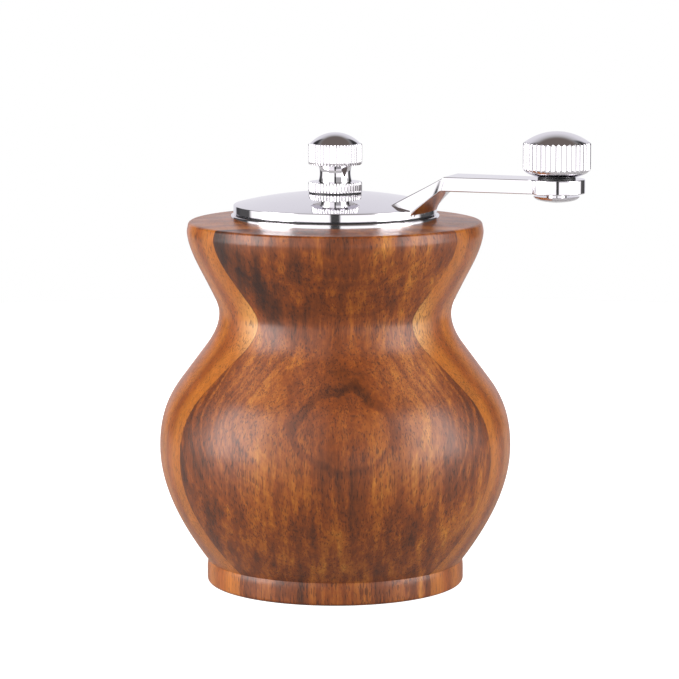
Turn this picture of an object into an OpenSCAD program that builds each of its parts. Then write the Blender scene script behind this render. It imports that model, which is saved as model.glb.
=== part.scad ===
// Hand coffee grinder: a turned wooden body with a bean hopper, a conical burr
// mill in its belly, a crank lid that drives the mill through a square shaft,
// and a knurled nut on the shaft's thread that sets the grind.
// Millimetres. +Z is up, the origin is the middle of the foot, the crank is along +X.

/* [Wooden body] */
// Height of the wood at the edge of its top face
body_h = 98.7; // [94:0.1:120]
// Rise of the top face from its edge to the collar
crown = 0.6; // [0.2:0.1:2]
// Radius of the foot ring
foot_r = 35; // [33.5:0.1:44]
// Height of the foot ring
foot_h = 6.2; // [5:0.1:10]
// Depth of the crease between the foot and the belly
crease_d = 0.3; // [0.1:0.1:1]
// Radius of the belly at its widest
belly_r = 47.75; // [42:0.05:60]
// Height of the belly's widest line
belly_z = 37.4; // [30:0.1:45]
// Radius of the waist
waist_r = 31.5; // [29.5:0.1:38]
// Height of the waist's narrowest line
waist_z = 73.8; // [62:0.1:80]
// Radius of the lip at the top
lip_r = 40.1; // [34:0.1:50]
// Height of the lip's rounded part
lip_h = 3.2; // [2:0.1:5]
// Radius of the rounding on the lip and under the foot
edge_round = 1; // [0.4:0.1:1.5]

/* [Bores in the wood] */
// Radius of the bean hopper
hopper_r = 23; // [20:0.1:24.5]
// Height of the hopper's floor, where the bridge meets the wood
floor_z = 42; // [40:0.1:52]
// Radius of the bore that holds the mill
mill_bore_r = 24.5; // [24:0.1:27]
// Radius of the recess inside the foot
recess_r = 30; // [29.7:0.1:31]
// Depth of the recess inside the foot
recess_h = 5.5; // [4:0.1:8]

/* [Collar and crank lid] */
// Radius of the collar's flange
collar_r = 28.2; // [27:0.1:33]
// Thickness of the collar's flange
collar_t = 1.3; // [1:0.1:3]
// Wall of the collar's spigot in the hopper
spigot_wall = 1.4; // [1:0.1:2]
// Depth of the collar's spigot
spigot_h = 5; // [3:0.1:8]
// Thickness of the glide ring that shows under the lid
glide_t = 0.35; // [0.3:0.05:1]
// Distance of the glide ring's edge inside the lid's edge
glide_inset = 0.7; // [0.2:0.1:1.5]
// Width of the glide ring inside the lid
glide_w = 1.8; // [1.2:0.1:2.5]
// Bevel on the collar's upper edge
collar_bevel = 0.3; // [0.1:0.05:0.5]
// Radius of the lid
lid_r = 27.5; // [25.5:0.1:32]
// Height of the lid's skirt
skirt_h = 2.2; // [1.6:0.1:5]
// Height of the lid's dome from the skirt to the nut's seat
dome_h = 3.1; // [2:0.1:6]
// Radius of the flat seat for the nut
seat_r = 8.2; // [7.6:0.1:10]
// Wall of the lid
lid_wall = 1.2; // [0.8:0.1:1.6]
// Wall of the ring under the lid that closes the hopper
lip_wall = 1; // [0.8:0.1:1.5]
// Depth of that ring below the lid's skirt
lip_drop = 2.5; // [1.5:0.1:4]
// Radius of the hub under the lid
hub_r = 8; // [7:0.1:10]

/* [Crank] */
// Distance from the shaft's axis to the knob's axis
crank_r = 62.4; // [50:0.1:80]
// Height of the arm's underside above the lid's lower edge
arm_rise = 7.3; // [6.5:0.1:12]
// Thickness of the arm
arm_t = 3.8; // [2:0.1:5]
// Half of the arm's width at the knob
arm_half = 5; // [3.5:0.1:6.5]
// Half of the arm's width at its bend
bend_half = 6.2; // [5:0.1:8]
// Half of the arm's width where it grows out of the lid
root_half = 11.5; // [9:0.1:14]
// Distance from the lid's edge to the underside's bend
bend_out = 4.5; // [2:0.1:8]
// Radius of the boss that carries the knob
boss_r = 7.5; // [6:0.1:9]

/* [Knob] */
// Radius over the knob's ribs
knob_r = 8.96; // [8:0.01:12]
// Height of the bowl below the ribs
bowl_h = 2.5; // [2:0.1:5]
// Height of the ribbed band
band_h = 6.4; // [4:0.1:10]
// Height of the knob's dome
knob_dome_h = 3.2; // [2.5:0.1:6]
// Radius of the knob's foot on its washer
knob_foot_r = 5; // [3.5:0.1:6]
// Number of ribs on the knob
knob_ribs = 36; // [24:1:48]
// Depth of the grooves between the knob's ribs
knob_groove = 0.46; // [0.2:0.01:0.8]
// Radius of the pin the knob turns on
pin_r = 2.2; // [1.8:0.1:2.6]
// Radius of the pin's head under the arm
pin_head_r = 6.1; // [4:0.05:7]
// Height of the pin's domed head
pin_head_h = 1.7; // [1:0.1:2.5]
// Radius of the pin's shoulder between its head and the arm
pin_shoulder_r = 2.7; // [2.65:0.05:3.5]
// Height of the pin's shoulder
pin_shoulder_h = 0.7; // [0.5:0.1:2]
// Depth of the pin's top end below the top of the knob
pin_sink = 5; // [4:0.1:6]
// Thickness of the washer under the knob
knob_washer_t = 0.4; // [0.3:0.1:1]

/* [Adjusting nut] */
// Radius over the nut's ribs
nut_r = 7.28; // [6.5:0.01:9]
// Height of the nut's lower flange
nut_flange_h = 2.7; // [2:0.1:4]
// Height of the nut's neck
neck_h = 4.7; // [3:0.1:8]
// Radius of the neck where it is narrowest
neck_r = 4.2; // [3.8:0.1:5.5]
// Height of the nut's ribbed drum
drum_h = 5.6; // [4:0.1:8]
// Height of the nut's dome
nut_dome_h = 3; // [1.5:0.1:4]
// Step from the drum's ribs in to the foot of the dome
drum_step = 0.6; // [0.5:0.1:1]
// Bevel on the ends of the nut's ribs
nut_bevel = 0.2; // [0.1:0.05:0.3]
// Number of ribs round the nut
nut_ribs = 46; // [30:1:60]
// Depth of the grooves between the nut's ribs
nut_groove = 0.35; // [0.2:0.01:0.6]
// Thickness of the black washer under the nut
nut_washer_t = 0.3; // [0.2:0.05:1]

/* [Shaft] */
// Width of the square shaft across its flats
shaft_w = 6; // [5:0.1:6.4]
// Radius of the shaft's thread
thread_r = 2.5; // [2:0.1:2.8]
// Length of the threaded end
thread_l = 11.5; // [8:0.1:12]
// Distance of the square's top end below the nut's seat
square_drop = 0.8; // [0.7:0.1:1.2]

/* [Burrs] */
// Radius of the rotor at its lower edge
rotor_r = 17; // [16:0.1:17.6]
// Radius of the rotor at its top
rotor_top_r = 9; // [8:0.1:10]
// Height of the rotor's cone
cone_h = 14; // [12:0.1:15]
// Height of the rotor's bevel under the cone
bevel_h = 1.5; // [1:0.1:2]
// Height of the rotor's lower edge above the table
rotor_z = 12; // [11.5:0.1:13]
// Sideways gap between the rotor's cone and the fixed burr
burr_gap = 0.7; // [0.65:0.05:1]
// Radius of the fixed burr
stator_r = 21.8; // [21:0.1:22.2]
// Height of the fixed burr's lower face above the table
stator_z = 11.2; // [10.8:0.1:12]
// Height of the fixed burr
stator_h = 13; // [12:0.1:14]
// Height of the fixed burr's fine lower teeth
fine_h = 5.3; // [4:0.1:6.5]
// Radius of the fixed burr's mouth
mouth_r = 19.2; // [18:0.1:19.6]
// Number of fine teeth on each burr
fine_teeth = 30; // [18:1:36]
// Number of coarse teeth on each burr
coarse_teeth = 6; // [4:1:8]
// Width of the tool that cuts the fine teeth
fine_cut = 1; // [0.7:0.1:1.2]
// Width of the tool that cuts the rotor's coarse teeth
coarse_cut = 3.6; // [3:0.1:4]
// Width of the tool that cuts the fixed burr's coarse teeth
feed_cut = 1.8; // [1.2:0.1:2]

/* [Housing, bridge and bush] */
// Thickness of the housing's flange
flange_t = 2; // [1.5:0.1:2.4]
// Thickness of the clip that holds the fixed burr
clip_t = 1.5; // [1:0.1:1.6]
// Depth of the groove that the fixed burr's clip sits in
clip_groove = 0.6; // [0.4:0.1:1]
// Height of the bridge between the housing and the wood
bridge_h = 6; // [5:0.1:7]
// Width of the bridge's three arms
spoke_w = 5; // [3:0.1:7]
// Thickness of the bridge's three arms
spoke_t = 3.6; // [2.5:0.1:4]
// Radius of the bridge's hub
bridge_hub_r = 8.5; // [7.8:0.1:10]
// Radius of the bush that turns in the bridge
bush_r = 5.4; // [5.2:0.1:6]
// Radius of the bush's flange
bush_flange_r = 7; // [6.8:0.1:8]
// Thickness of the bush's flange and of its clip
bush_flange_t = 0.9; // [0.7:0.1:1.2]
// Depth of the groove that the bush's clip sits in
bush_groove = 0.45; // [0.3:0.05:0.6]

/* [Spring] */
// Radius of the spring to the middle of its wire
spring_r = 5.45; // [5.3:0.05:6]
// Radius of the spring's wire
wire_r = 0.5; // [0.3:0.05:0.6]
// Number of turns in the spring
spring_turns = 5; // [4:1:6]
// Thickness of the spring's washers
spring_washer_t = 0.5; // [0.4:0.1:0.8]

/* [Screws] */
// Radius of the wood screws' shanks
screw_r = 1.2; // [0.9:0.1:1.4]
// Radius of the wood screws' heads
screw_head_r = 2.1; // [1.8:0.1:2.3]
// Length of the collar's screws
collar_screw_l = 9; // [6:0.5:12]
// Length of the housing's screws
housing_screw_l = 12; // [8:0.5:16]
// Radius of the bridge's screws
bridge_screw_r = 0.9; // [0.7:0.1:1]
// Radius of the bridge's screw heads
bridge_head_r = 1.7; // [1.3:0.1:1.8]
// Length of the bridge's screws
bridge_screw_l = 10; // [8:0.5:12]
// Radius of the screw that holds the rotor on the shaft
rotor_screw_r = 1.95; // [1.5:0.05:2]
// Radius of the rotor screw's head
rotor_head_r = 3.5; // [3:0.1:4]
// Length of the rotor screw under its head
rotor_screw_l = 9; // [6:0.5:10]
// Radius of the washer under the rotor screw
rotor_washer_r = 7; // [5:0.1:7.5]

/* [Fits] */
// Clearance of a round part that turns in its bore
run_clear = 0.05; // [0.02:0.01:0.09]
// Clearance of a part that is seated in another
seat_clear = 0.05; // [0.02:0.01:0.2]
// Gap between flat faces that slide on each other
face_gap = 0.05; // [0.02:0.01:0.1]
// Gap between the lid's closing ring and the collar
ring_clear = 0.3; // [0.3:0.05:0.6]

/* [Hidden] */
$fn = 96;
eps = 0.01;        // how far a cutting tool reaches past the face it cuts
slot_w = 4;        // width of the opening in each clip
bridge_wall = 0.8; // how far the bridge's ring stands clear of the burr's mouth
hub_proud = 0.4;   // how far the bridge's hub stands above the hopper's floor
chrome = "#c9c9d2";
wood = "#8a5230";
black = "#2a2a2c";
steel = "#9aa0a6";
ceramic = "#e8e4da";

// Heights, from the wood's top face up to the knob
deck_z = body_h + crown;
collar_z = deck_z + collar_t;
lid_z = collar_z + face_gap + glide_t;
rim_z = lid_z + skirt_h;
seat_z = rim_z + dome_h;
nut_z = seat_z + nut_washer_t + face_gap;
arm_z = lid_z + arm_rise;
boss_z = arm_z + arm_t;
knob_z = boss_z + knob_washer_t + face_gap;
knob_top = knob_z + bowl_h + band_h + knob_dome_h;
nut_top = nut_z + nut_flange_h + neck_h + drum_h + nut_dome_h;
square_top = seat_z - square_drop;
thread_top = square_top + thread_l;

// Heights in the mill, from the foot up to the bridge
flange_z = recess_h - flange_t;
rotor_foot = rotor_z - bevel_h;
rotor_top = rotor_z + cone_h;
stator_top = stator_z + stator_h;
hub_face = rotor_z + 1;                // underside of the rotor's hub
bridge_z = floor_z - face_gap - bridge_h;
bush_face = bridge_z + 2;              // underside of the bridge's hub
bush_flange_z = bush_face - face_gap - bush_flange_t;
bush_clip_z = floor_z + hub_proud + face_gap;
bush_groove_top = bush_clip_z + bush_flange_t;
spring_z = rotor_top + spring_washer_t;
spring_top = bush_flange_z - spring_washer_t;
rotor_head_z = hub_face - 1;           // underside of the rotor's washer

// Radii of pieces that fit in others
housing_r = mill_bore_r - seat_clear;
flange_r = recess_r - 0.2;
flange_screws = (mill_bore_r + recess_r) / 2;
spigot_r = hopper_r - seat_clear;
spigot_bore = spigot_r - spigot_wall;
ring_r = spigot_bore - ring_clear;
cavity_r = lid_r - lid_wall;
collar_screws_r = (hopper_r + collar_r) / 2;
bridge_in = mouth_r + bridge_wall;
bridge_screws_r = (bridge_in + housing_r) / 2;
clip_groove_r = stator_r + seat_clear + clip_groove;
bush_groove_r = bush_r - bush_groove;
washer_bore_r = shaft_w * 0.75;
square_hole = shaft_w + 2 * run_clear;
cone_slope = (rotor_r - rotor_top_r) / cone_h;
cone_tilt = atan(cone_slope);
dome_drop = (lid_r ^ 2 - seat_r ^ 2 - dome_h ^ 2) / (2 * dome_h);
dome_ball = sqrt(seat_r ^ 2 + (dome_drop + dome_h) ^ 2);

// Points [radius, height] along a smooth curve between two ends, each with its slope
function ease(a, slope_a, b, slope_b, steps) =
    [for (i = [0 : steps]) let (t = i / steps, h = b[1] - a[1]) [
        (2 * t ^ 3 - 3 * t ^ 2 + 1) * a[0] + (t ^ 3 - 2 * t ^ 2 + t) * h * slope_a
            + (3 * t ^ 2 - 2 * t ^ 3) * b[0] + (t ^ 3 - t ^ 2) * h * slope_b,
        a[1] + t * h]];

// Points on an arc round a centre
function arc(centre, r, from, to, steps) =
    [for (i = [0 : steps]) let (a = from + (to - from) * i / steps)
        centre + r * [cos(a), sin(a)]];

// An arc of radius r in place of the corner at b between the lines a-b and b-c
function fillet(a, b, c, r, steps) =
    let (u = (a - b) / norm(a - b), v = (c - b) / norm(c - b),
        half = acos(u * v) / 2, mid = (u + v) / norm(u + v),
        o = b + mid * r / sin(half), p = b + u * r / tan(half), q = b + v * r / tan(half),
        from = atan2(p[1] - o[1], p[0] - o[0]), to = atan2(q[1] - o[1], q[0] - o[0]),
        turn = to - from > 180 ? to - from - 360 : to - from < -180 ? to - from + 360 : to - from)
    arc(o, r, from, from + turn, steps);

// Outline of a ribbed round, with rounded ribs and sharp grooves
function ribbed(r, groove, count, steps) =
    [for (i = [0 : count * steps - 1]) let (a = 360 * i / (count * steps))
        (r - groove + groove * sqrt(abs(sin(count * a / 2)))) * [cos(a), sin(a)]];

module bore(r, from, to) {
    translate([0, 0, from]) cylinder(r = r, h = to - from);
}

module tube(outer, inner, from, to) {
    difference() {
        bore(outer, from, to);
        bore(inner, from - eps, to + eps);
    }
}

module square_bore(w, from, to) {
    translate([-w / 2, -w / 2, from]) cube([w, w, to - from]);
}

module ring_of(count, r, first = 0) {
    for (i = [0 : count - 1])
        rotate([0, 0, first + i * 360 / count]) translate([r, 0, 0]) children();
}

// A countersunk screw whose head is flush with the height z, pointing down
module screw_down(r, head_r, l, z) {
    translate([0, 0, z - l]) cylinder(r = r, h = l);
    translate([0, 0, z - head_r + r]) cylinder(r1 = r, r2 = head_r, h = head_r - r);
}

// The hole for that screw, wider by the seat's clearance all round
module screw_hole(r, head_r, l, z) {
    screw_down(r + seat_clear, head_r + seat_clear, l + seat_clear, z);
    translate([0, 0, z - eps]) cylinder(r = head_r + seat_clear, h = 2 * eps);
}

module collar_screw_places() { ring_of(3, collar_screws_r, 90) children(); }
module bridge_screw_places() { ring_of(3, bridge_screws_r, 30) children(); }
module housing_screw_places() {
    ring_of(3, flange_screws, 30) translate([0, 0, flange_z]) mirror([0, 0, 1]) children();
}

// ---- Body, collar and what is fixed to them ----

// The turned outline: foot ring, crease, pot belly, waist and flared lip
module wood_outline() {
    span = waist_z - belly_z;
    waist_in = belly_r - waist_r;
    crease = [foot_r - crease_d, foot_h];
    foot_top = [foot_r, foot_h * 0.6];
    shoulder_at = [0.665, 0.486];      // as shares of the way out to the belly and up to the waist
    throat_at = [0.212, 0.758];
    knee_at = [0.327, 0.355];          // as shares of the way out and up from the waist to the lip
    fall_bend = 1.66;                  // slopes at those points, against a straight line's
    flare_bend = 1.25;
    rise_bend = 1.79;
    shoulder = [waist_r + shoulder_at[0] * waist_in, belly_z + shoulder_at[1] * span];
    throat = [waist_r + throat_at[0] * waist_in, belly_z + throat_at[1] * span];
    fall = -fall_bend * waist_in / span;
    lip = [lip_r, body_h - lip_h];
    flare_in = lip_r - waist_r;
    flare = flare_bend * flare_in / (lip[1] - waist_z);
    knee = [waist_r + knee_at[0] * flare_in, waist_z + knee_at[1] * (lip[1] - waist_z)];
    edge = [lip_r - edge_round / 4, body_h - edge_round];
    rise = rise_bend * (belly_r - crease[0]) / (belly_z - foot_h);
    polygon(concat(
        [[0, 0]],
        arc([foot_r - edge_round, edge_round], edge_round, -90, 0, 4),
        ease(foot_top, 0, crease, -0.3, 3),
        ease(crease, rise, [belly_r, belly_z], 0, 12),
        ease([belly_r, belly_z], 0, shoulder, fall, 8),
        ease(throat, fall, [waist_r, waist_z], 0, 6),
        ease([waist_r, waist_z], 0, knee, flare, 5),
        ease(knee, flare, lip, 0.12, 8),
        ease(lip, 0.12, edge, -0.25, 3),
        arc([edge[0] - edge_round, edge[1]], edge_round, 0, 90, 4),
        [[collar_r, deck_z], [0, deck_z]]));
}

module wood_body() {
    color(wood) difference() {
        rotate_extrude() wood_outline();
        bore(recess_r, -eps, recess_h);
        bore(mill_bore_r, recess_h - eps, floor_z);
        bore(hopper_r, floor_z - eps, deck_z + eps);
        collar_screw_places() screw_hole(screw_r, screw_head_r, collar_screw_l, collar_z);
        housing_screw_places() screw_hole(screw_r, screw_head_r, housing_screw_l, 0);
    }
}

module collar() {
    color(chrome) difference() {
        union() {
            rotate_extrude() polygon([[0, deck_z], [collar_r, deck_z],
                [collar_r, collar_z - collar_bevel], [collar_r - collar_bevel, collar_z],
                [0, collar_z]]);
            bore(spigot_r, deck_z - spigot_h, deck_z + eps);
        }
        bore(spigot_bore, deck_z - spigot_h - eps, collar_z + eps);
        collar_screw_places() screw_hole(screw_r, screw_head_r, collar_screw_l, collar_z);
    }
}

module collar_screws() {
    color(steel) collar_screw_places()
        screw_down(screw_r, screw_head_r, collar_screw_l, collar_z);
}

module burr_housing() {
    color(black) difference() {
        union() {
            bore(flange_r, flange_z, recess_h);
            bore(housing_r, flange_z, bridge_z);
        }
        bore(stator_r + seat_clear, flange_z - eps, stator_top);
        bore(clip_groove_r, stator_z - clip_t, stator_z);
        bore(mouth_r, stator_top - eps, bridge_z + eps);
        housing_screw_places() screw_hole(screw_r, screw_head_r, housing_screw_l, 0);
        bridge_screw_places() screw_hole(bridge_screw_r, bridge_head_r, bridge_screw_l,
            bridge_z + bridge_h);
    }
}

module housing_screws() {
    color(steel) housing_screw_places() screw_down(screw_r, screw_head_r, housing_screw_l, 0);
}

// A groove for one tooth flank, cut along the cone and slightly askew
module tooth_groove(w, r, z, tilt, l, skew) {
    translate([r, 0, z]) rotate([0, -tilt, 0]) rotate([skew, 0, 0]) rotate([0, 0, 45])
        cube([w, w, l], center = true);
}

module stator_burr() {
    lower_r = rotor_r + burr_gap + (rotor_z - stator_z) * cone_slope;
    pinch_r = lower_r - fine_h * cone_slope;
    funnel_h = stator_h - fine_h;
    funnel_tilt = atan((pinch_r - mouth_r) / funnel_h);
    color(ceramic) difference() {
        bore(stator_r, stator_z, stator_top);
        rotate_extrude() polygon([[0, stator_z - eps], [lower_r, stator_z - eps],
            [pinch_r, stator_z + fine_h], [mouth_r, stator_top + eps], [0, stator_top + eps]]);
        ring_of(fine_teeth, 0) tooth_groove(fine_cut, (lower_r + pinch_r) / 2,
            stator_z + fine_h / 2, cone_tilt, 2 * fine_h, 12);
        ring_of(2 * coarse_teeth, 0, 5) tooth_groove(feed_cut, (pinch_r + mouth_r) / 2,
            stator_z + fine_h + funnel_h / 2, funnel_tilt, 1.1 * funnel_h, -12);
    }
}

module stator_clip() {
    color(steel) difference() {
        tube(clip_groove_r - seat_clear, stator_r - 3, stator_z - clip_t + seat_clear, stator_z);
        translate([0, -slot_w / 2, stator_z - clip_t]) cube([2 * stator_r, slot_w, 2 * clip_t]);
    }
}

module shaft_bridge() {
    color(steel) difference() {
        union() {
            tube(housing_r, bridge_in, bridge_z, bridge_z + bridge_h);
            intersection() {
                bore(housing_r - 1, bush_face, bush_face + spoke_t);
                ring_of(3, 0, 90) translate([0, -spoke_w / 2, bush_face])
                    cube([housing_r, spoke_w, spoke_t]);
            }
            bore(bridge_hub_r, bush_face, floor_z + hub_proud);
        }
        bore(bush_r + run_clear, bush_face - eps, floor_z + hub_proud + eps);
        bridge_screw_places() screw_hole(bridge_screw_r, bridge_head_r, bridge_screw_l,
            bridge_z + bridge_h);
    }
}

module bridge_screws() {
    color(steel) bridge_screw_places() screw_down(bridge_screw_r, bridge_head_r,
        bridge_screw_l, bridge_z + bridge_h);
}

// ---- The bush and what turns with it at a fixed height ----

module shaft_bush() {
    bush_top = bush_groove_top + 0.8;
    color(black) difference() {
        union() {
            bore(bush_flange_r, bush_flange_z, bush_flange_z + bush_flange_t);
            bore(bush_r, bush_flange_z, bush_clip_z);
            bore(bush_groove_r, bush_flange_z, bush_groove_top);
            bore(bush_r, bush_groove_top, bush_top);
        }
        square_bore(square_hole, bush_flange_z - eps, bush_top + eps);
    }
}

module bush_clip() {
    color(steel) difference() {
        tube(bush_flange_r, bush_groove_r + seat_clear, bush_clip_z, bush_groove_top - seat_clear);
        translate([0, -slot_w / 2, bush_clip_z - eps])
            cube([2 * bush_flange_r, slot_w, 2 * bush_flange_t]);
    }
}

module upper_spring_washer() {
    color(steel) tube(bush_flange_r, washer_bore_r, spring_top, spring_top + spring_washer_t);
}

// ---- The spindle: shaft, rotor and spring ----

module shaft() {
    color(steel) difference() {
        union() {
            square_bore(shaft_w, hub_face + 0.3, square_top);
            bore(thread_r, square_top - 1, thread_top);
        }
        bore(rotor_screw_r + seat_clear, hub_face, rotor_head_z + rotor_screw_l + 2);
    }
}

module rotor_burr() {
    color(ceramic) difference() {
        rotate_extrude() polygon([[0, rotor_foot], [rotor_r - bevel_h, rotor_foot],
            [rotor_r, rotor_z], [rotor_top_r, rotor_top], [0, rotor_top]]);
        square_bore(square_hole, rotor_foot, rotor_top + eps);
        bore(rotor_washer_r + 1, rotor_foot - eps, hub_face);
        ring_of(fine_teeth, 0) tooth_groove(fine_cut, rotor_r - 2 * cone_slope,
            rotor_z + 2, cone_tilt, 9, -12);
        ring_of(coarse_teeth, 0) tooth_groove(coarse_cut, rotor_top_r + 4 * cone_slope,
            rotor_top - 4, cone_tilt, 12, 14);
    }
}

module rotor_washer() {
    color(steel) tube(rotor_washer_r, rotor_screw_r + 2 * seat_clear, rotor_head_z, hub_face);
}

module rotor_screw() {
    head_h = 2;
    color(steel) difference() {
        union() {
            bore(rotor_screw_r, rotor_head_z - eps, rotor_head_z + rotor_screw_l);
            bore(rotor_head_r, rotor_head_z - head_h, rotor_head_z);
        }
        translate([-rotor_head_r - 1, -0.5, rotor_head_z - head_h - eps])
            cube([2 * rotor_head_r + 2, 1, head_h / 2]);
    }
}

module lower_spring_washer() {
    color(steel) tube(bush_flange_r, washer_bore_r, rotor_top, rotor_top + spring_washer_t);
}

// The coil, as rings of the wire's section along its turns
module spring() {
    sides = 8;
    steps = 20 * spring_turns;
    climb = spring_top - spring_z - 2 * wire_r;
    points = [for (i = [0 : steps], j = [0 : sides - 1])
        let (a = 360 * spring_turns * i / steps, b = 360 * j / sides,
            r = spring_r + wire_r * cos(b))
        [r * cos(a), r * sin(a), spring_z + wire_r + climb * i / steps + wire_r * sin(b)]];
    walls = [for (i = [0 : steps - 1], j = [0 : sides - 1]) let (k = (j + 1) % sides)
        [i * sides + j, (i + 1) * sides + j, (i + 1) * sides + k, i * sides + k]];
    first = [for (j = [0 : sides - 1]) j];
    last = [for (j = [sides - 1 : -1 : 0]) steps * sides + j];
    color(steel) polyhedron(points, concat(walls, [first], [last]), convexity = 8);
}

// ---- The crank lid, its knob and the nut ----

// The arm seen from the side: up out of the skirt, then level to the boss
module arm_side() {
    under = [lid_r + bend_out, arm_z];
    over = [lid_r + bend_out + 1, boss_z];
    root = [lid_r - 10, rim_z + 0.2];
    foot = [lid_r - 1.5, lid_z + 0.2];
    polygon(concat(
        [[lid_r - 10, lid_z + 0.2], foot],
        fillet(foot, under, [crank_r, arm_z], 2, 4),
        [[crank_r, arm_z], [crank_r, boss_z]],
        fillet([crank_r, boss_z], over, root, 4, 4),
        [root]));
}

// The arm seen from above: a flare at the lid, a taper out to the boss
module arm_top() {
    flare = [lid_r - 10, root_half + 1];
    knee = [lid_r + bend_out, bend_half + 0.3];
    side = concat([flare], fillet(flare, knee, [crank_r, arm_half], 8, 6), [[crank_r, arm_half]]);
    polygon(concat(side, [for (i = [len(side) - 1 : -1 : 0]) [side[i][0], -side[i][1]]]));
}

module lid_dome(ball, z_shift, r, low) {
    intersection() {
        translate([0, 0, seat_z + z_shift - sqrt(ball ^ 2 - seat_r ^ 2)]) sphere(r = ball);
        bore(r, low, seat_z + z_shift);
    }
}

module crank_lid() {
    color(chrome) difference() {
        union() {
            lid_dome(dome_ball, 0, lid_r, lid_z);
            intersection() {
                rotate([90, 0, 0]) linear_extrude(height = 4 * root_half, center = true) arm_side();
                translate([0, 0, lid_z]) linear_extrude(height = 2 * arm_rise) arm_top();
            }
            translate([crank_r, 0, 0]) bore(boss_r, arm_z, boss_z);
        }
        difference() {
            lid_dome(dome_ball, -lid_wall, cavity_r, lid_z - eps);
            tube(ring_r, ring_r - lip_wall, lid_z - lip_drop, seat_z);
            bore(hub_r, lid_z - 2 * eps, seat_z);
        }
        square_bore(square_hole, lid_z - lip_drop, seat_z + eps);
        translate([crank_r, 0, 0]) bore(pin_r + seat_clear, arm_z - eps, boss_z + eps);
    }
    color(chrome) tube(ring_r, ring_r - lip_wall, lid_z - lip_drop, lid_z + eps);
}

module glide_ring() {
    color(black) difference() {
        union() {
            bore(lid_r - glide_inset, collar_z + face_gap, lid_z);
            bore(cavity_r - seat_clear, collar_z + face_gap, lid_z + 1);
        }
        bore(cavity_r - glide_w, collar_z, lid_z + 2);
    }
}

module knob_pin() {
    head_z = arm_z - pin_shoulder_h - pin_head_h;
    color(chrome) translate([crank_r, 0, 0]) {
        rotate_extrude() polygon(concat(
            [[0, head_z]],
            ease([2.5, head_z], 6, [pin_head_r, head_z + pin_head_h * 0.75], 0.5, 5),
            [[pin_head_r, head_z + pin_head_h], [0, head_z + pin_head_h]]));
        bore(pin_shoulder_r, head_z + pin_head_h - eps, arm_z);
        bore(pin_r, arm_z - eps, knob_top - pin_sink);
    }
}

module knob_washer() {
    color(black) translate([crank_r, 0, 0])
        tube(knob_foot_r, pin_r + seat_clear, boss_z, boss_z + knob_washer_t);
}

module crank_knob() {
    band_z = knob_z + bowl_h;
    ball = (knob_r ^ 2 + knob_dome_h ^ 2) / (2 * knob_dome_h);
    dome_from = asin((ball - knob_dome_h) / ball);
    color(chrome) translate([crank_r, 0, 0]) difference() {
        intersection() {
            rotate_extrude() polygon(concat(
                [[0, knob_z]],
                ease([knob_foot_r, knob_z], 3.6, [knob_r, band_z], 0.1, 7),
                [[knob_r, band_z + band_h]],
                arc([0, knob_top - ball], ball, dome_from, 90, 8)));
            translate([0, 0, knob_z]) linear_extrude(height = knob_top - knob_z)
                polygon(ribbed(knob_r, knob_groove, knob_ribs, 6));
        }
        bore(pin_r + run_clear, knob_z - eps, knob_top - pin_sink + 4 * face_gap);
    }
}

module adjusting_nut() {
    neck_z = nut_z + nut_flange_h;
    drum_z = neck_z + neck_h;
    dome_z = drum_z + drum_h;
    shoulder_r = nut_r - drum_step;
    ball = (shoulder_r ^ 2 + nut_dome_h ^ 2) / (2 * nut_dome_h);
    dome_from = asin((ball - nut_dome_h) / ball);
    color(chrome) difference() {
        intersection() {
            rotate_extrude() polygon(concat(
                [[0, nut_z], [nut_r - nut_bevel, nut_z], [nut_r, nut_z + nut_bevel],
                    [nut_r, neck_z - nut_bevel], [nut_r - nut_bevel, neck_z]],
                ease([neck_r + 0.6, neck_z], -0.6, [neck_r + 0.6, drum_z], 0.6, 6),
                [[nut_r - nut_bevel, drum_z], [nut_r, drum_z + nut_bevel],
                    [nut_r, dome_z - nut_bevel], [nut_r - nut_bevel, dome_z]],
                arc([0, nut_top - ball], ball, dome_from, 90, 7)));
            translate([0, 0, nut_z]) linear_extrude(height = nut_top - nut_z)
                polygon(ribbed(nut_r, nut_groove, nut_ribs, 4));
        }
        bore(thread_r + run_clear, nut_z - eps, thread_top + 1.2);
    }
}

module nut_washer() {
    color(black) tube(nut_r - 0.2, thread_r + 0.4, seat_z, seat_z + nut_washer_t);
}

wood_body();
collar();
collar_screws();
glide_ring();
crank_lid();
knob_pin();
knob_washer();
crank_knob();
adjusting_nut();
nut_washer();
shaft();
rotor_burr();
rotor_washer();
rotor_screw();
lower_spring_washer();
spring();
upper_spring_washer();
shaft_bush();
bush_clip();
shaft_bridge();
bridge_screws();
stator_burr();
stator_clip();
burr_housing();
housing_screws();
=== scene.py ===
"""A hand coffee grinder in a turned wooden body, with a chromed crank lid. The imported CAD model
gives every place, and this script makes the pieces that are seen. Lengths are in millimetres
until a mesh is made, which is in metres."""

from math import acos, asin, cos, pi, radians, sin, sqrt, tan

import bmesh
import bpy
from mathutils import Matrix, Vector


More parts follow.
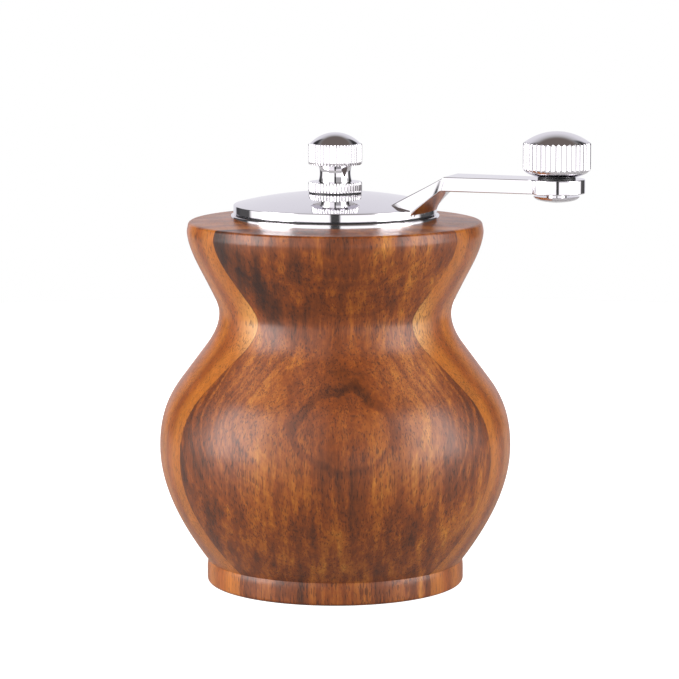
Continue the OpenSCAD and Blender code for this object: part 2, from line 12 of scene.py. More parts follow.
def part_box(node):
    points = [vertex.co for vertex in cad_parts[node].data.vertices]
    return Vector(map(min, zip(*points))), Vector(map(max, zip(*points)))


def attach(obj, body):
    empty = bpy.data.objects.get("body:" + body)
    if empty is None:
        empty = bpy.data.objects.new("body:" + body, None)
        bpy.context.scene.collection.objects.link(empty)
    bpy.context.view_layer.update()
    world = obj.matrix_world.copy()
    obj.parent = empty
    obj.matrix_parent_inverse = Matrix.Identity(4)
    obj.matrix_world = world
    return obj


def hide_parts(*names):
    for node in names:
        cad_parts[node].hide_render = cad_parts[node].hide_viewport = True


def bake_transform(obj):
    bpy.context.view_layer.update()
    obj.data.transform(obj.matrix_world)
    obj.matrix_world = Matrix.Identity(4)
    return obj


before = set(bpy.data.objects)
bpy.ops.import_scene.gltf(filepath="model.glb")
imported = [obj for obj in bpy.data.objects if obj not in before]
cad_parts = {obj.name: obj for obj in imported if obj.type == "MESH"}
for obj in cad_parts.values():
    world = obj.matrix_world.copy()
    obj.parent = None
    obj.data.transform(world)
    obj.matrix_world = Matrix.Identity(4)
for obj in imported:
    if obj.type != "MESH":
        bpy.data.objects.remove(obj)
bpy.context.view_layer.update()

# ---- Studio ----------------------------------------------------------------
# A table in a white tent, with the light through the tent's walls. Two black flags behind the
# mill and the dark slot for the lens give the chrome its edges. The table is plain white to the
# lens and dim to all else, so that it doesn't wash out the wood.
MM = 0.001
CAMERA_TURN = radians(21)  # how far the camera stands round from the front, towards the crank
CAMERA_AWAY = 874
CAMERA_HIGH = 190.5
CAMERA_DOWN = radians(8.09)
MILL_LEFT_OF_CENTRE = 1.16
LENS_MM = 172.2

front = Vector((sin(CAMERA_TURN), -cos(CAMERA_TURN), 0))
right = Vector((cos(CAMERA_TURN), sin(CAMERA_TURN), 0))
lens = bpy.data.cameras.new("camera")
lens.lens = LENS_MM
lens.sensor_width = 36
camera = bpy.data.objects.new("camera", lens)
camera.location = (front * CAMERA_AWAY + Vector((0, 0, CAMERA_HIGH))) * MM
aim_z = CAMERA_HIGH - CAMERA_AWAY * tan(CAMERA_DOWN)
aim = (right * MILL_LEFT_OF_CENTRE + Vector((0, 0, aim_z))) * MM
camera.rotation_euler = (aim - camera.location).to_track_quat("-Z", "Y").to_euler()
bpy.context.collection.objects.link(camera)
bpy.context.scene.camera = camera
bpy.context.scene.view_settings.view_transform = "Standard"


def paint(hex_colour):
    """An sRGB hex colour as the linear colour that Blender's shaders take."""
    parts = [int(hex_colour[i:i + 2], 16) / 255 for i in (1, 3, 5)]
    return [c / 12.92 if c < 0.04045 else ((c + 0.055) / 1.055) ** 2.4 for c in parts] + [1]


def add(tree, kind, inputs=(), stops=(), **settings):
    """Adds a node with its settings. An input is a number, a colour, a socket or another node,
    and the stops of a colour ramp are its (place, hex colour) pairs."""
    made = tree.nodes.new(kind)
    for name, value in settings.items():
        setattr(made, name, value)
    for i, (place, colour) in enumerate(stops):
        points = made.color_ramp.elements
        point = points[i] if i < 2 else points.new(place)
        point.position = place
        point.color = paint(colour)
    for name, value in dict(inputs).items():
        if isinstance(value, bpy.types.Node):
            value = next(out for out in value.outputs if out.enabled)
        if isinstance(value, bpy.types.NodeSocket):
            tree.links.new(value, made.inputs[name])
        else:
            made.inputs[name].default_value = value
    return made


def region(tree, *bands):
    """One inside all of the bands and nothing outside them, with soft edges. Each band is a
    value with its middle, its half width and how soft its edge is."""
    share = 1.0
    for value, middle, half, soft in bands:
        away = add(tree, "ShaderNodeMath", {0: value, 1: middle}, operation="SUBTRACT")
        away = add(tree, "ShaderNodeMath", {0: away}, operation="ABSOLUTE")
        inside = add(tree, "ShaderNodeMapRange", {
            "Value": away, "From Min": half - soft, "From Max": half + soft, "To Min": 1.0,
            "To Max": 0.0}, interpolation_type="SMOOTHSTEP")
        share = add(tree, "ShaderNodeMath", {0: inside, 1: share}, operation="MULTIPLY")
    return share


def light_tent(scene):
    """The tent's light by direction, and plain white where the lens looks straight at it."""
    world = bpy.data.worlds.new("light_tent")
    world.use_nodes = True
    tree = world.node_tree
    tree.nodes.clear()
    way = add(tree, "ShaderNodeTexCoord").outputs["Generated"]
    turned_way = add(tree, "ShaderNodeVectorRotate", {"Vector": way, "Angle": -CAMERA_TURN},
                     rotation_type="Z_AXIS")
    x, y, z = add(tree, "ShaderNodeSeparateXYZ", {0: turned_way}).outputs
    ahead = add(tree, "ShaderNodeMath", {0: y, 1: -1}, operation="MULTIPLY")
    side = add(tree, "ShaderNodeMath", {0: x}, operation="ABSOLUTE")
    round_way = add(tree, "ShaderNodeMath", {0: side, 1: ahead}, operation="ARCTAN2")
    rise = add(tree, "ShaderNodeMath", {0: z}, operation="ARCSINE")
    on_left = add(tree, "ShaderNodeMapRange", {"Value": x, "From Min": -0.02, "From Max": -0.08})
    less_on_right = add(tree, "ShaderNodeMapRange", {
        "Value": x, "From Min": -0.5, "From Max": 0.5, "To Min": 1.0, "To Max": 0.8})

    # From the first painted to the last: the band up from the horizon and the band round from
    # the lens to either side, in degrees, how much it covers, its colour and its strength.
    panels = [
        ((-45, 36, 6), None, 1.0, "#1c1817", 1.0),  # dim floor
        ((18, 32, 8), None, 1.0, "#fbf9fa", 0.5),  # upper part of the wall
        ((-4, 13, 4), None, 1.0, "#fbf9fa", 1.4),  # bright foot of the wall
        ((28, 32, 5), (28, 21, 3), on_left, "#fbf9fa", 1.45),  # panel left of the lens
        ((10, 30, 14), (180, 42, 6), 1.0, "#f2f0f7", 0.95),  # backdrop
        ((11, 30, 6), (71, 20, 5), less_on_right, "#fffdfc", 6.5),  # soft box on each side
        ((10, 38, 8), (131, 20, 4), 0.93, "#0c0b0b", 1.0),  # flag on each side
        ((24, 44, 8), (0, 5.5, 1.3), 0.95, "#0c0b0b", 1.0)]  # slot for the lens
    light = (0.18, 0.15, 0.137, 1)  # the rest of the tent
    for upward, sideways, cover, colour, strength in panels:
        bands = [(rise, *map(radians, upward))]
        if sideways:
            bands.append((round_way, *map(radians, sideways)))
        share = add(tree, "ShaderNodeMath", {0: region(tree, *bands), 1: cover},
                    operation="MULTIPLY")
        glow = [c * strength for c in paint(colour)[:3]] + [1]
        light = add(tree, "ShaderNodeMix", {"Factor": share, "A": light, "B": glow},
                    data_type="RGBA", clamp_result=False).outputs[2]
    tent = add(tree, "ShaderNodeBackground", {"Color": light, "Strength": 1.0})
    backdrop = add(tree, "ShaderNodeBackground", {"Color": (1, 1, 1, 1), "Strength": 1.0})
    straight = add(tree, "ShaderNodeLightPath").outputs["Is Camera Ray"]
    both = add(tree, "ShaderNodeMixShader", {0: straight, 1: tent, 2: backdrop})
    add(tree, "ShaderNodeOutputWorld", {"Surface": both})
    scene.world = world


light_tent(bpy.context.scene)

TABLE_R, TABLE_GREY, DIM_GLOW = 0.6, 0.5, 0.15  # radius in metres, colour, glow off the lens
bpy.ops.mesh.primitive_circle_add(vertices=96, radius=TABLE_R, fill_type="NGON")
table = bpy.context.object
table.name = "table"
table.visible_diffuse = False
table_top = bpy.data.materials.new("white_table")
table_top.use_nodes = True
table_top.node_tree.nodes.clear()
white = add(table_top.node_tree, "ShaderNodeBsdfPrincipled", {
    "Base Color": (TABLE_GREY, TABLE_GREY, TABLE_GREY, 1), "Roughness": 1.0,
    "Specular IOR Level": 0.0})
seen = add(table_top.node_tree, "ShaderNodeLightPath").outputs["Is Camera Ray"]
seen = add(table_top.node_tree, "ShaderNodeMapRange", {
    "Value": seen, "To Min": DIM_GLOW, "To Max": 1.0})
glow = add(table_top.node_tree, "ShaderNodeEmission", {"Color": (1, 1, 1, 1), "Strength": seen})
lit = add(table_top.node_tree, "ShaderNodeAddShader", {0: white, 1: glow})
add(table_top.node_tree, "ShaderNodeOutputMaterial", {"Surface": lit})
table.data.materials.append(table_top)

# ---- Wooden body -----------------------------------------------------------
# Boards of acacia glued into a block and turned on a lathe: foot ring, pot belly, waist and
# flared lip, bored through for the beans and the mill, then finished with satin lacquer.
BELLY_R, BELLY_Z = 47.75, 37.4
WAIST_R, WAIST_Z = 31.5, 73.8
LIP_R, LIP_H = 40.1, 3.2
FOOT_R, FOOT_H, CREASE = 35.0, 6.2, 0.3
HOPPER_R, FLOOR_Z, MILL_BORE_R = 23.0, 42.0, 24.5
RECESS_R, RECESS_H = 30.0, 5.5
BOARD_HALF = 24.0  # half the thickness of the pale boards in the middle of the block


def ease(a, slope_a, b, slope_b, steps):
    """Points (radius, height) on a smooth curve between two ends, each with its slope."""
    h = b[1] - a[1]
    points = []
    for i in range(steps + 1):
        t = i / steps
        radius = ((2 * t ** 3 - 3 * t ** 2 + 1) * a[0] + (t ** 3 - 2 * t ** 2 + t) * h * slope_a
                  + (3 * t ** 2 - 2 * t ** 3) * b[0] + (t ** 3 - t ** 2) * h * slope_b)
        points.append((radius, a[1] + t * h))
    return points


def arc(middle, radius, start, end, steps):
    """Points (radius, height) on an arc from one angle to another, in degrees."""
    turns = [radians(start + (end - start) * i / steps) for i in range(steps + 1)]
    return [(middle[0] + radius * cos(t), middle[1] + radius * sin(t)) for t in turns]


def softened(corners, steps=4):
    """An outline with each (radius, height, rounding) corner rounded off."""
    points = []
    count = len(corners)
    for i, corner in enumerate(corners):
        here = Vector(corner[:2])
        rounding = corner[2] if len(corner) > 2 else 0
        if not rounding or i in (0, count - 1) and here.x == 0:
            points.append(tuple(here))
            continue
        back = (Vector(corners[i - 1][:2]) - here).normalized()
        on = (Vector(corners[(i + 1) % count][:2]) - here).normalized()
        half = acos(max(-1, min(1, back.dot(on)))) / 2
        cut = min(rounding / tan(half), 0.49 * (Vector(corners[i - 1][:2]) - here).length,
                  0.49 * (Vector(corners[(i + 1) % count][:2]) - here).length)
        start, end = here + back * cut, here + on * cut
        for k in range(steps + 1):
            t = k / steps
            points.append(tuple(start * (1 - t) ** 2 + here * 2 * t * (1 - t) + end * t ** 2))
    return points


def turned(name, outline, steps=192, middle=(0, 0)):
    """A closed mesh turned from an outline of (radius, height) points. An outline that starts
    and ends on the axis makes a solid, and any other makes a ring."""
    mesh = bpy.data.meshes.new(name)
    shape = bmesh.new()
    rows = []
    for radius, height in outline:
        if radius < 1e-6:
            rows.append([shape.verts.new((middle[0] * MM, middle[1] * MM, height * MM))])
            continue
        turns = [2 * pi * i / steps for i in range(steps)]
        rows.append([shape.verts.new(((middle[0] + radius * cos(t)) * MM,
                                      (middle[1] + radius * sin(t)) * MM, height * MM))
                     for t in turns])
    if len(rows[0]) > 1:
        rows.append(rows[0])
    for low, high in zip(rows, rows[1:]):
        for i in range(steps):
            j = (i + 1) % steps
            corners = (low[i % len(low)], low[j % len(low)],
                       high[j % len(high)], high[i % len(high)])
            face = list(dict.fromkeys(corners))
            if len(face) > 2:
                shape.faces.new(face)
    bmesh.ops.recalc_face_normals(shape, faces=shape.faces)
    shape.to_mesh(mesh)
    shape.free()
    piece = bpy.data.objects.new(name, mesh)
    bpy.context.collection.objects.link(piece)
    return piece


def smooth(piece, angle=38):
    """Smooth shading, with edges sharper than the angle left crisp."""
    piece.data.shade_smooth()
    piece.data.set_sharp_from_angle(angle=radians(angle))


def body_outline(top, collar_edge):
    """The outside of the wood from its foot to its top face, then down through its bores. The
    points between the named heights are shares of the step from one height to the next."""
    span, waist_in = WAIST_Z - BELLY_Z, BELLY_R - WAIST_R
    shoulder = (WAIST_R + 0.665 * waist_in, BELLY_Z + 0.486 * span)
    throat = (WAIST_R + 0.212 * waist_in, BELLY_Z + 0.758 * span)
    fall = -1.66 * waist_in / span
    crown = 0.6
    lip = (LIP_R, top - crown - LIP_H)
    flare_in = LIP_R - WAIST_R
    knee = (WAIST_R + 0.327 * flare_in, WAIST_Z + 0.355 * (lip[1] - WAIST_Z))
    flare = 1.25 * flare_in / (lip[1] - WAIST_Z)
    edge = (LIP_R - 0.25, top - crown - 1)
    crease = (FOOT_R - CREASE, FOOT_H)
    rise = 1.79 * (BELLY_R - crease[0]) / (BELLY_Z - FOOT_H)
    outside = (arc((FOOT_R - 1, 1), 1, -90, 0, 8)
               + ease((FOOT_R, FOOT_H * 0.6), 0, crease, -0.3, 5)
               + ease(crease, rise, (BELLY_R, BELLY_Z), 0, 34)[1:]
               + ease((BELLY_R, BELLY_Z), 0, shoulder, fall, 24)[1:]
               + ease(throat, fall, (WAIST_R, WAIST_Z), 0, 16)
               + ease((WAIST_R, WAIST_Z), 0, knee, flare, 14)[1:]
               + ease(knee, flare, lip, 0.12, 20)[1:]
               + ease(lip, 0.12, edge, -0.25, 6)[1:]
               + arc((edge[0] - 1, edge[1]), 1, 0, 90, 8)[1:])
    bores = [(collar_edge, top), (HOPPER_R, top), (HOPPER_R, FLOOR_Z), (MILL_BORE_R, FLOOR_Z),
             (MILL_BORE_R, RECESS_H), (RECESS_R, RECESS_H), (RECESS_R, 0.4), (RECESS_R + 0.4, 0)]
    return outside + bores


def lacquered_acacia():
    """Acacia under satin lacquer. The heartwood board in front is red-brown with oval growth
    figure and dark streaks. The middle of the block is golden, with pale sapwood at the glue
    lines around the waist. Open pores run up the grain as short dark dashes, and show as dots
    on the top face."""
    heart_colours = [(0.42, "#351605"), (0.55, "#5a2a09"), (0.69, "#7f3d10"), (0.81, "#a0581b"),
                     (0.95, "#c27c2c")]
    golden_layers = [(0.0, "#b06420"), (0.14, "#b46a24"), (0.24, "#9c5018"), (0.34, "#8c4412"),
                     (0.46, "#b06622"), (0.66, "#aa5e1e"), (0.80, "#8f4814"), (1.0, "#a65a1c")]
    layer_w = 1 / 0.34  # of the growth layers, in millimetres
    lean = 0.40  # how far back the layers lean for each millimetre up
    glue_w = 0.22
    made = bpy.data.materials.new("lacquered_acacia")
    made.use_nodes = True
    tree = made.node_tree
    tree.nodes.clear()
    place = add(tree, "ShaderNodeTexCoord").outputs["Object"]
    block = add(tree, "ShaderNodeVectorRotate", {"Vector": place, "Angle": -CAMERA_TURN},
                rotation_type="Z_AXIS")
    block = add(tree, "ShaderNodeVectorMath", {0: block, "Scale": 1 / MM}, operation="SCALE")
    side, deep, up = add(tree, "ShaderNodeSeparateXYZ", {0: block}).outputs
    from_middle = add(tree, "ShaderNodeMath", {0: deep}, operation="ABSOLUTE")

    def stretched(x_mm, y_mm, z_mm, detail, roughness, shift=0.0):
        """Noise whose grains are about this big, in millimetres."""
        vector = add(tree, "ShaderNodeMapping", {
            "Vector": block, "Scale": (1 / x_mm, 1 / y_mm, 1 / z_mm), "Location": (shift, 0, 0)})
        return add(tree, "ShaderNodeTexNoise", {
            "Vector": vector, "Scale": 1.0, "Detail": detail, "Roughness": roughness}).outputs[0]

    drift = stretched(24, 24, 70, 3, 0.5)
    streaks = stretched(3.4, 7.0, 75, 5, 0.62, 3.1)
    fibres = stretched(0.7, 0.7, 12, 3, 0.6, 7.7)
    mottle = stretched(9, 9, 13, 3, 0.55, 1.4)
    patches = stretched(26, 40, 34, 2, 0.5, 5.3)
    speckle = stretched(0.9, 0.9, 2.6, 2, 0.6, 9.1)
    pore_noise = stretched(0.36, 0.36, 2.2, 1, 0.5, 2.2)

    # heartwood: growth layers that lean back, so that the belly cuts them in ovals. They are
    # clear on the belly and give way to the streaks at the foot and towards the lip.
    layers = add(tree, "ShaderNodeMath", {0: up, 1: lean}, operation="MULTIPLY")
    layers = add(tree, "ShaderNodeMath", {0: layers, 1: deep}, operation="SUBTRACT")
    layers = add(tree, "ShaderNodeMath", {0: drift, 1: 7.0, 2: layers}, operation="MULTIPLY_ADD")
    rings = add(tree, "ShaderNodeTexNoise", {
        "W": layers, "Scale": 1 / layer_w, "Detail": 4.0, "Roughness": 0.62},
        noise_dimensions="1D").outputs[0]
    above_foot = add(tree, "ShaderNodeMapRange", {
        "Value": up, "From Min": 26.0, "From Max": 48.0, "To Min": 0.10, "To Max": 0.62})
    below_lip = add(tree, "ShaderNodeMapRange", {
        "Value": up, "From Min": 62.0, "From Max": 80.0, "To Min": 1.0, "To Max": 0.35})
    ring_share = add(tree, "ShaderNodeMath", {0: above_foot, 1: below_lip}, operation="MULTIPLY")
    figure = add(tree, "ShaderNodeMix", {"Factor": ring_share, "A": streaks, "B": rings},
                 data_type="FLOAT")
    slant = add(tree, "ShaderNodeMath", {0: up, 1: 0.82, 2: side}, operation="MULTIPLY_ADD")
    slant = add(tree, "ShaderNodeMath", {0: drift, 1: 10.0, 2: slant}, operation="MULTIPLY_ADD")
    dark_streak = region(tree, (slant, 52.0, 6.0, 5.0), (up, 88.0, 16.0, 7.0))
    pale_patch = region(tree, (side, 17.0, 10.0, 8.0), (up, 45.0, 28.0, 14.0))
    for mark, weight in ((patches, 0.42), (dark_streak, -0.22), (pale_patch, 0.07)):
        figure = add(tree, "ShaderNodeMath", {0: mark, 1: weight, 2: figure},
                     operation="MULTIPLY_ADD")
    figure = add(tree, "ShaderNodeMath", {0: figure, 1: 0.12}, operation="SUBTRACT")
    figure = add(tree, "ShaderNodeMath", {0: speckle, 1: 0.24, 2: figure},
                 operation="MULTIPLY_ADD")
    heart = add(tree, "ShaderNodeValToRGB", {0: figure}, stops=heart_colours)

    # golden boards: thin layers along the glue lines, and pale sapwood next to each line
    inward = add(tree, "ShaderNodeMath", {0: BOARD_HALF, 1: from_middle}, operation="SUBTRACT")
    inward = add(tree, "ShaderNodeMath", {0: inward, 1: 3.0}, operation="SUBTRACT")
    inward = add(tree, "ShaderNodeMath", {0: drift, 1: 6.0, 2: inward}, operation="MULTIPLY_ADD")
    depth = add(tree, "ShaderNodeMapRange", {
        "Value": inward, "From Min": 0.0, "From Max": BOARD_HALF, "To Min": 0.0, "To Max": 1.0})
    golden = add(tree, "ShaderNodeValToRGB", {0: depth}, stops=golden_layers)
    evened = add(tree, "ShaderNodeMath", {0: streaks, 1: 0.3}, operation="SUBTRACT")
    golden = add(tree, "ShaderNodeMix", {"Factor": evened, "A": golden, "B": paint("#a86020")},
                 data_type="RGBA", clamp_factor=True).outputs[2]
    golden_tone = add(tree, "ShaderNodeMath", {0: speckle, 1: 0.3, 2: 0.42},
                      operation="MULTIPLY_ADD")
    golden_tone = add(tree, "ShaderNodeMath", {0: streaks, 1: 0.9, 2: golden_tone},
                      operation="MULTIPLY_ADD")
    golden = add(tree, "ShaderNodeVectorMath", {0: golden, "Scale": golden_tone},
                 operation="SCALE").outputs[0]
    sapwood = region(tree, (side, 0.0, 24.0, 3.5), (inward, 0.0, 6.0, 4.5), (up, 72.0, 12.0, 5.0))
    golden = add(tree, "ShaderNodeMix", {"Factor": sapwood, "A": golden, "B": paint("#c98f4c")},
                 data_type="RGBA").outputs[2]
    outer = add(tree, "ShaderNodeMath", {0: from_middle, 1: BOARD_HALF}, operation="GREATER_THAN")
    colour = add(tree, "ShaderNodeMix", {"Factor": outer, "A": golden, "B": heart},
                 data_type="RGBA").outputs[2]

    # fibres, pores and the thin glue line darken the colour
    tone = add(tree, "ShaderNodeMapRange", {
        "Value": fibres, "From Min": 0.3, "From Max": 0.7, "To Min": 0.80, "To Max": 1.13})
    pore_start = add(tree, "ShaderNodeMath", {0: mottle, 1: -0.30, 2: 0.735},
                     operation="MULTIPLY_ADD")
    pore_full = add(tree, "ShaderNodeMath", {0: pore_start, 1: 0.05}, operation="ADD")
    pores = add(tree, "ShaderNodeMapRange", {
        "Value": pore_noise, "From Min": pore_start, "From Max": pore_full, "To Min": 0.0,
        "To Max": 1.0})
    glue_line = add(tree, "ShaderNodeMath", {0: from_middle, 1: BOARD_HALF, 2: glue_w / 2},
                    operation="COMPARE")
    for dark, weight in ((pores, -0.5), (glue_line, -0.35)):
        kept = add(tree, "ShaderNodeMath", {0: dark, 1: weight, 2: 1.0}, operation="MULTIPLY_ADD")
        tone = add(tree, "ShaderNodeMath", {0: tone, 1: kept}, operation="MULTIPLY")
    colour = add(tree, "ShaderNodeVectorMath", {0: colour, "Scale": tone}, operation="SCALE")
    raised = add(tree, "ShaderNodeMath", {0: fibres, 1: 0.35}, operation="MULTIPLY")
    raised = add(tree, "ShaderNodeMath", {0: raised, 1: pores}, operation="SUBTRACT")
    bump = add(tree, "ShaderNodeBump", {"Height": raised, "Strength": 0.35, "Distance": 0.05 * MM})
    shine = add(tree, "ShaderNodeMapRange", {
        "Value": mottle, "From Min": 0.3, "From Max": 0.7, "To Min": 0.36, "To Max": 0.47})
    skin = add(tree, "ShaderNodeBsdfPrincipled", {
        "Base Color": colour, "Roughness": shine, "Normal": bump, "IOR": 1.45,
        "Coat Weight": 0.3, "Coat Roughness": 0.2, "Coat IOR": 1.45})
    add(tree, "ShaderNodeOutputMaterial", {"Surface": skin})
    return made


wood_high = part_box("wood_body")[1]
collar_low, collar_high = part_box("collar")
collar_edge = collar_high[0] / MM
body = turned("turned_body", body_outline(wood_high[2] / MM, collar_edge), steps=256)
smooth(body, 30)
body.data.materials.append(lacquered_acacia())
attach(body, "body")
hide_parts("wood_body")

# ---- Collar ----------------------------------------------------------------
# A chromed ring pressed from sheet, with a spigot down into the hopper. The lid runs on its
# flange, and three countersunk screws under the lid hold it to the wood.


def chrome_plate():
    """Bright chrome on die-cast zinc: a mirror with the faint orange peel of the casting and
    the light haze of handling."""
    made = bpy.data.materials.new("chrome_plate")
    made.use_nodes = True
    tree = made.node_tree
    tree.nodes.clear()
    place = add(tree, "ShaderNodeTexCoord").outputs["Object"]
    peel = add(tree, "ShaderNodeTexNoise", {
        "Vector": place, "Scale": 1 / (3.5 * MM), "Detail": 1.0}).outputs[0]
    haze = add(tree, "ShaderNodeTexNoise", {
        "Vector": place, "Scale": 1 / (11 * MM), "Detail": 4.0, "Roughness": 0.6}).outputs[0]
    bump = add(tree, "ShaderNodeBump", {"Height": peel, "Strength": 0.10, "Distance": 0.03 * MM})
    rough = add(tree, "ShaderNodeMapRange", {
        "Value": haze, "From Min": 0.35, "From Max": 0.7, "To Min": 0.035, "To Max": 0.085})
    skin = add(tree, "ShaderNodeBsdfPrincipled", {
        "Base Color": paint("#e4e2e6"), "Metallic": 1.0, "Roughness": rough, "Normal": bump})
    add(tree, "ShaderNodeOutputMaterial", {"Surface": skin})
    return made


chrome = chrome_plate()
spigot_r = HOPPER_R - 0.05
spigot_bore = spigot_r - 1.4
low, deck, top = collar_low[2] / MM, wood_high[2] / MM, collar_high[2] / MM
collar = turned("collar_ring", softened([
    (spigot_r, low), (spigot_r, deck, 0.2), (collar_edge, deck), (collar_edge, top, 0.5),
    (spigot_bore, top, 0.5), (spigot_bore, low)], 6))
smooth(collar)
collar.data.materials.append(chrome)
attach(collar, "body")
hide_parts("collar")

# ---- Crank lid and arm -----------------------------------------------------
# One die casting in zinc, polished and chromed: a low dome with a short skirt, a ring under
# it that closes the hopper, a hub with a square hole, and the arm that grows out of the skirt.
lid_low, lid_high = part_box("crank_lid")
washer_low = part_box("nut_washer")[0]
LID_R, SKIRT_H, LID_WALL, SEAT_R, HUB_R = 27.5, 2.2, 1.2, 8.2, 8.0
CLOSING_WALL, CLOSING_DROP = 1.0, 2.5  # of the ring under the lid
CRANK_R, BOSS_R, ARM_T = 62.4, 7.5, 3.8
SQUARE_HOLE, PIN_HOLE_R = 6.1, 2.25
seat_z = washer_low[2] / MM
skirt_z = lid_low[2] / MM + CLOSING_DROP
rim_z = skirt_z + SKIRT_H
boss_z = lid_high[2] / MM
arm_z = boss_z - ARM_T
ring_r = spigot_bore - 0.3
cavity_r = LID_R - LID_WALL
dome_drop = (LID_R ** 2 - SEAT_R ** 2 - (seat_z - rim_z) ** 2) / (2 * (seat_z - rim_z))


def dome_height(radius, sunk=0.0):
    """The height of the lid's dome at a radius, or of the surface sunk below it."""
    ball = sqrt(SEAT_R ** 2 + (dome_drop + seat_z - rim_z) ** 2)
    return min(rim_z - dome_drop + sqrt(ball ** 2 - radius ** 2), seat_z) - sunk


def dome_points(outer, inner, steps, sunk=0.0):
    """Points along that surface from one radius in to another."""
    radii = [outer + (inner - outer) * i / steps for i in range(steps + 1)]
    return [(r, dome_height(r, sunk)) for r in radii]


# Stations down the arm from the boss to the lid. Each gives the distance, drop and half width
# of its top face, then those of its underside, and how far the underside follows the skirt.
ARM = [((62.4, 0.0, 5.0), (62.4, -3.8, 5.3), 0),
       ((48.0, 0.0, 5.5), (48.0, -3.8, 5.8), 0),
       ((34.3, 0.0, 6.05), (33.5, -3.8, 6.35), 0),
       ((33.3, -0.04, 6.12), (32.5, -3.83, 6.42), 0),
       ((32.3, -0.5, 6.3), (31.4, -4.4, 6.62), 0.05),
       ((28.0, -2.9, 7.35), (29.2, -6.6, 8.1), 0.4),
       ((23.6, -5.3, 8.6), (27.9, -8.6, 9.9), 0.75),
       ((19.4, -7.65, 9.8), (27.45, -10.2, 11.2), 1),
       ((18.2, -8.4, 10.2), (27.42, -10.95, 11.8), 1)]


def arm_casting():
    """The arm lofted through its stations, with a small round along its long edges."""
    rounding, corner_steps, across, between = 0.3, 4, 10, 8
    shape = bmesh.new()

    def catmull(rows, i, t):
        """A smooth value between row i and the next."""
        a, b = rows[max(i - 1, 0)], rows[i]
        c, d = rows[i + 1], rows[min(i + 2, len(rows) - 1)]
        return 0.5 * (2 * b + (c - a) * t + (2 * a - 5 * b + 4 * c - d) * t ** 2
                      + (3 * b - a - 3 * c + d) * t ** 3)

    tracks = [[Vector(s[0]) for s in ARM], [Vector(s[1]) for s in ARM],
              [Vector((s[2], 0, 0)) for s in ARM]]
    sections = []
    for i in range(len(ARM) - 1):
        level = i < 2
        for k in range(3 if level else between):
            t = k / (3 if level else between)
            sections.append([r[i].lerp(r[i + 1], t) if level else catmull(r, i, t)
                             for r in tracks])
    sections.append([r[-1] for r in tracks])
    rows = []
    for top_place, low_place, wrap in sections:
        loop = []
        for place, sign in ((top_place, 1), (low_place, -1)):
            for k in range(across + 1):
                y = sign * place.z * (1 - 2 * k / across)
                bend = wrap.x * (LID_R - sqrt(LID_R ** 2 - y ** 2)) if place is low_place else 0
                loop.append(Vector((place.x - bend, y, boss_z + place.y)))
        rows.append([shape.verts.new(p * MM) for p in loop])
    for low, high in zip(rows, rows[1:]):
        for i in range(len(low)):
            j = (i + 1) % len(low)
            shape.faces.new((low[i], low[j], high[j], high[i]))
    shape.faces.new(rows[0])
    shape.faces.new(list(reversed(rows[-1])))
    bmesh.ops.recalc_face_normals(shape, faces=shape.faces)
    long_edges = [shape.edges.get((low[i], high[i])) for low, high in zip(rows, rows[1:])
                  for i in (0, across, across + 1, 2 * across + 1)]
    bmesh.ops.bevel(shape, geom=long_edges, offset=rounding * MM, segments=corner_steps,
                    profile=0.5, affect="EDGES")
    mesh = bpy.data.meshes.new("arm")
    shape.to_mesh(mesh)
    shape.free()
    piece = bpy.data.objects.new("arm", mesh)
    bpy.context.collection.objects.link(piece)
    return piece


def square_bar(name, width, low_z, high_z):
    """A square bar along the shaft's axis, to cut a hole with."""
    mesh = bpy.data.meshes.new(name)
    shape = bmesh.new()
    bmesh.ops.create_cube(shape, size=1)
    size = Vector((width, width, high_z - low_z)) * MM
    middle = Vector((0, 0, (low_z + high_z) / 2)) * MM
    bmesh.ops.transform(shape, matrix=Matrix.LocRotScale(middle, None, size), verts=shape.verts)
    shape.to_mesh(mesh)
    shape.free()
    piece = bpy.data.objects.new(name, mesh)
    bpy.context.collection.objects.link(piece)
    return piece


def plain_mesh(piece):
    """Turns a piece's modifiers into a plain mesh."""
    bpy.context.view_layer.update()
    depsgraph = bpy.context.evaluated_depsgraph_get()
    result = bpy.data.meshes.new_from_object(piece.evaluated_get(depsgraph))
    piece.modifiers.clear()
    piece.data = result


def combine(piece, other, operation):
    """Joins the other piece to this one, or cuts it away, and removes the other."""
    step = piece.modifiers.new("combine", "BOOLEAN")
    step.operation = operation
    step.solver = "EXACT"
    step.object = other
    plain_mesh(piece)
    bpy.data.objects.remove(other)


lid = turned("crank_lid_casting", (
    [(0, skirt_z), (LID_R - 0.2, skirt_z), (LID_R, skirt_z + 0.2), (LID_R, rim_z - 0.25),
     (LID_R - 0.09, rim_z - 0.06)] + dome_points(LID_R - 0.3, SEAT_R, 24) + [(0, seat_z)]), 256)
boss = turned("boss", softened([
    (0, arm_z), (BOSS_R, arm_z, 0.3), (BOSS_R, boss_z, 0.3), (0, boss_z)], 6), 128, (CRANK_R, 0))
closing_r = ring_r - CLOSING_WALL
inside = turned("inside", [(HUB_R, skirt_z - 1), (closing_r, skirt_z - 1)]
                + dome_points(closing_r, HUB_R, 8, LID_WALL))
edge_room = turned("edge_room", [(ring_r, skirt_z - 1), (cavity_r, skirt_z - 1)]
                   + dome_points(cavity_r, ring_r, 6, LID_WALL))
closing_ring = turned("closing_ring", [
    (closing_r, skirt_z - CLOSING_DROP), (ring_r, skirt_z - CLOSING_DROP), (ring_r, skirt_z + 0.4),
    (closing_r, skirt_z + 0.4)])
pin_hole = turned("pin_hole", [(0, arm_z - 1), (PIN_HOLE_R, arm_z - 1), (PIN_HOLE_R, boss_z + 1),
                               (0, boss_z + 1)], 48, (CRANK_R, 0))
